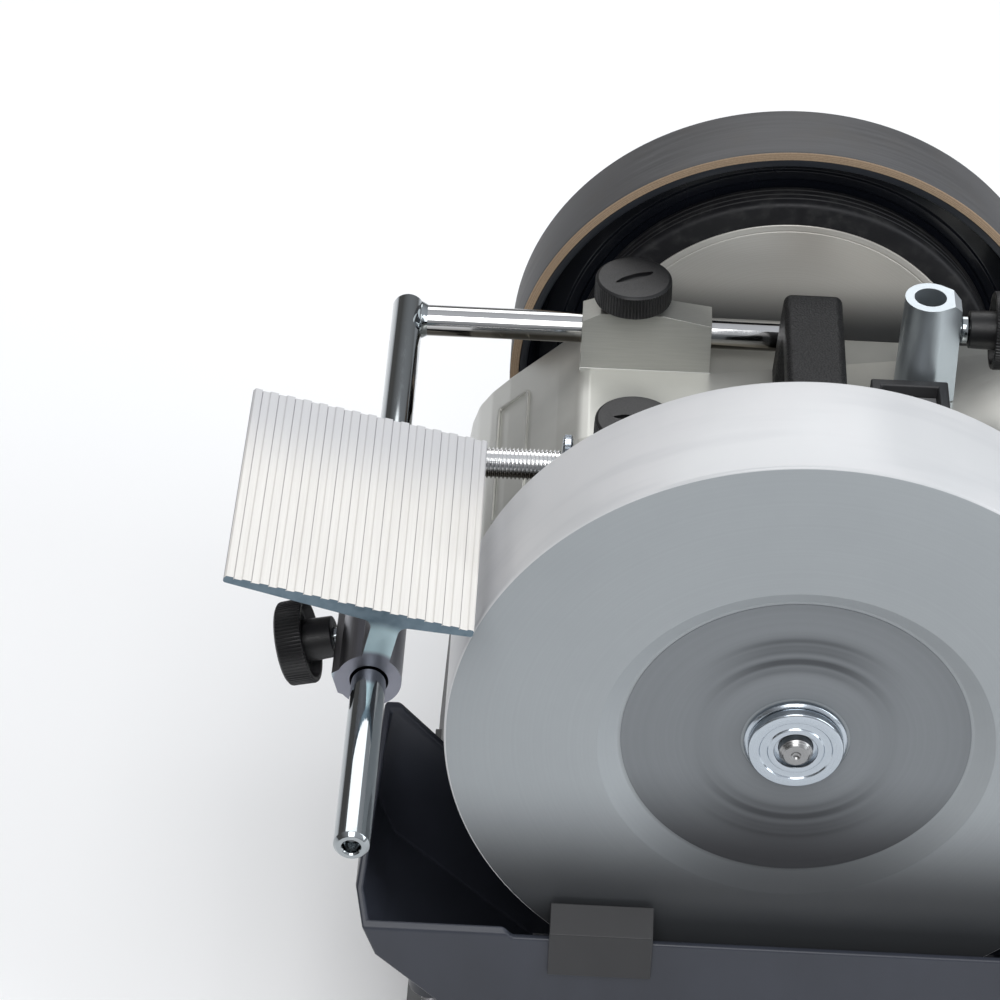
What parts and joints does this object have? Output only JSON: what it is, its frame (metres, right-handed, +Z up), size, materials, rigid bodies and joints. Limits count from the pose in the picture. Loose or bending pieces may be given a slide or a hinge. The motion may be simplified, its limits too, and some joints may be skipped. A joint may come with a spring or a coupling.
{
  "type": "wet grinding sharpener",
  "caption": "Bench sharpener with a water-cooled grindstone and leather honing wheel on one shaft, bar support, tilting ribbed tool rest and lifting water trough.",
  "frame": {"origin": "middle of the bounding box, on the plane of the bench", "axes": "+Z up, +Y along the main shaft from the grindstone to the honing wheel, -X towards the operator's side where the bar support reaches out"},
  "size_m": [0.3418, 0.368, 0.325],
  "materials": {
    "stone": "fine aluminium oxide, wet gloss on the rim",
    "zinc": "satin zinc casting",
    "chrome": "bright plated bar",
    "steel": "turned steel",
    "aluminium": "extruded, fine drawing lines",
    "black_plastic": "fine grained moulding",
    "knob_plastic": "ribbed moulding",
    "rubber": "matt rubber",
    "leather": "tan edge, grey honing paste on the tread",
    "bronze": "sintered bronze",
    "dark_paint": "dark powder coat",
    "grey_pad": "grey insert",
    "can": "drawn aluminium can"
  },
  "bodies": {
    "machine": {"top_casting": "zinc", "housing_shell": "black_plastic", "base_plate": "dark_paint", "foot_front_near": "rubber", "foot_front_far": "rubber", "foot_rear_near": "rubber", "foot_rear_far": "rubber", "handle": "black_plastic", "accessory_holder": "black_plastic", "holder_pad": "grey_pad", "horizontal_sleeve_near": "aluminium", "horizontal_sleeve_far": "aluminium", "vertical_sleeve_near": "zinc", "vertical_sleeve_far": "zinc", "bushing_near": "bronze", "bushing_far": "bronze", "switch_bezel": "black_plastic", "cord_inlet": "black_plastic", "capacitor": "can", "motor_bracket": "steel", "pivot_pin": "steel", "torsion_spring": "steel", "lift_bracket": "dark_paint"},
    "spindle": {"main_shaft": "steel", "grindstone": "stone", "stone_washer": "chrome", "stone_nut": "chrome", "inner_flange": "steel", "drive_wheel": "zinc", "drive_tyre": "rubber", "honing_wheel": "black_plastic", "honing_leather": "leather", "honing_nut": "steel"},
    "motor": {"motor_cradle": "steel", "stator_case": "dark_paint", "motor_endcap_near": "aluminium", "motor_endcap_far": "aluminium"},
    "rotor": {"rotor_shaft": "steel", "drive_roller": "steel", "cooling_fan": "black_plastic"},
    "support": {"support_cross_bar": "chrome", "support_smooth_leg": "chrome", "support_threaded_leg": "chrome"},
    "adjust_nut": {"micro_adjust_nut": "chrome"},
    "tool_rest": {"tool_rest": "aluminium"},
    "tool_rest_clamp": {"tool_rest_knob": "knob_plastic", "tool_rest_screw": "steel"},
    "horizontal_near_clamp": {"horizontal_near_knob": "knob_plastic", "horizontal_near_screw": "steel"},
    "horizontal_far_clamp": {"horizontal_far_knob": "knob_plastic", "horizontal_far_screw": "steel"},
    "vertical_near_clamp": {"vertical_near_knob": "knob_plastic", "vertical_near_screw": "steel"},
    "vertical_far_clamp": {"vertical_far_knob": "knob_plastic", "vertical_far_screw": "steel"},
    "trough": {"water_trough": "black_plastic", "trough_scraper": "knob_plastic"},
    "lift": {"lift_screw": "steel", "lift_knob": "knob_plastic"},
    "rocker": {"power_rocker": "knob_plastic"}
  },
  "joints": [
    {"name": "spindle_spin", "type": "hinge", "parent": "machine", "child": "spindle", "pos_m": [0.0285, 0, 0.2], "axis": [0, 1, 0], "continuous": true},
    {"name": "motor_swing", "type": "hinge", "parent": "machine", "child": "motor", "pos_m": [0.0685, 0, 0.052], "axis": [0, 1, 0], "range_deg": [-1.5, 0], "stiffness_Nm_per_rad": 25, "springref_deg": 14.32},
    {"name": "rotor_spin", "type": "hinge", "parent": "motor", "child": "rotor", "pos_m": [-0.0035, 0, 0.1148], "axis": [0, 1, 0], "continuous": true},
    {"name": "support_slide", "type": "slide", "parent": "machine", "child": "support", "axis": [-1, 0, 0], "range_m": [-0.003, 0.04]},
    {"name": "adjust_nut_turn", "type": "hinge", "parent": "machine", "child": "adjust_nut", "pos_m": [-0.057, 0.0265, 0.245], "axis": [-1, 0, 0], "range_deg": [-9610, 730]},
    {"name": "tool_rest_tilt", "type": "hinge", "parent": "support", "child": "tool_rest", "pos_m": [-0.1215, 0, 0.245], "axis": [0, 1, 0], "range_deg": [-40, 5]},
    {"name": "tool_rest_clamp_turn", "type": "hinge", "parent": "tool_rest", "child": "tool_rest_clamp", "pos_m": [-0.14754, -0.073, 0.23788], "axis": [-0.9646, 0, -0.2639], "range_deg": [0, 720]},
    {"name": "horizontal_near_clamp_turn", "type": "hinge", "parent": "machine", "child": "horizontal_near_clamp", "pos_m": [-0.033, 0.0265, 0.26], "axis": [0, 0, 1], "range_deg": [0, 720]},
    {"name": "horizontal_far_clamp_turn", "type": "hinge", "parent": "machine", "child": "horizontal_far_clamp", "pos_m": [-0.0345, 0.1165, 0.26], "axis": [0, 0, 1], "range_deg": [0, 720]},
    {"name": "vertical_near_clamp_turn", "type": "hinge", "parent": "machine", "child": "vertical_near_clamp", "pos_m": [0.1, 0.008, 0.2652], "axis": [1, 0, 0], "range_deg": [0, 720]},
    {"name": "vertical_far_clamp_turn", "type": "hinge", "parent": "machine", "child": "vertical_far_clamp", "pos_m": [0.1, 0.098, 0.2652], "axis": [1, 0, 0], "range_deg": [0, 720]},
    {"name": "trough_lift", "type": "slide", "parent": "machine", "child": "trough", "axis": [0, 0, 1], "range_m": [-0.016, 0]},
    {"name": "lift_screw_turn", "type": "hinge", "parent": "machine", "child": "lift", "pos_m": [-0.0995, -0.051, 0.03], "axis": [0, 0, 1], "range_deg": [-1, 2890]},
    {"name": "power_rocker_tilt", "type": "hinge", "parent": "machine", "child": "rocker", "pos_m": [-0.099, 0.059, 0.062], "axis": [0, 1, 0], "range_deg": [-7, 0]}
  ],
  "couplings": [
    {"joint": "rotor_spin", "follows": "spindle_spin", "ratio": -14.991},
    {"joint": "adjust_nut_turn", "follows": "support_slide", "rad_per_m": -4188.8},
    {"joint": "lift_screw_turn", "follows": "trough_lift", "rad_per_m": -3141.6}
  ]
}
